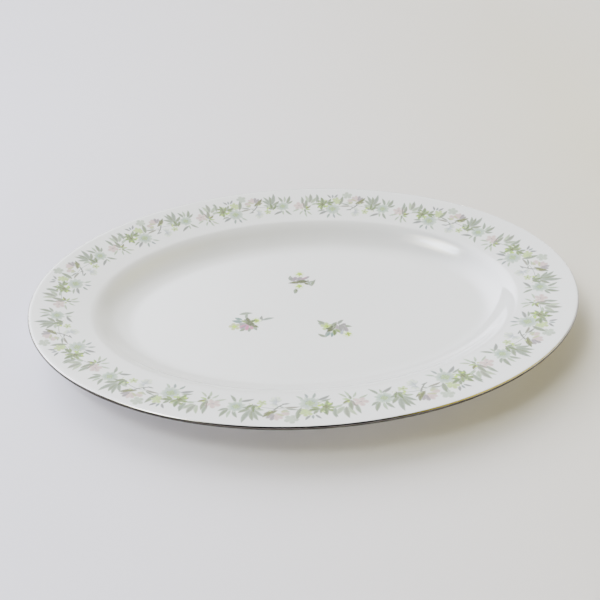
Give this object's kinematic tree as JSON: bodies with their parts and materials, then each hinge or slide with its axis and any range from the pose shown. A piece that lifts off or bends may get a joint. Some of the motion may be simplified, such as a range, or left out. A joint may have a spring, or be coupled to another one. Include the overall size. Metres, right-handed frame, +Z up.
{
  "type": "oval serving platter",
  "caption": "Oval china serving platter with a shallow well, a broad sloping rim, a floral rim border, small sprays in the well and a metal line round the lip.",
  "frame": {"origin": "on the table, under the middle of the platter, at the bottom of the foot ring", "axes": "+X along the platter's length, +Y across it, +Z up out of the well"},
  "size_m": [0.38, 0.2736, 0.0265],
  "materials": {
    "china_glaze": "gloss",
    "bare_clay": "matte",
    "platinum_line": "polished",
    "border_enamel": "gloss",
    "spray_enamel": "gloss"
  },
  "bodies": {
    "root": {"platter_body": "china_glaze", "foot_ring": "bare_clay", "rim_band": "platinum_line", "border_transfer_01": "border_enamel", "border_transfer_02": "border_enamel", "border_transfer_03": "border_enamel", "border_transfer_04": "border_enamel", "border_transfer_05": "border_enamel", "border_transfer_06": "border_enamel", "border_transfer_07": "border_enamel", "border_transfer_08": "border_enamel", "border_transfer_09": "border_enamel", "border_transfer_10": "border_enamel", "border_transfer_11": "border_enamel", "centre_spray_back": "spray_enamel", "centre_spray_left": "spray_enamel", "centre_spray_right": "spray_enamel"}
  },
  "joints": []
}
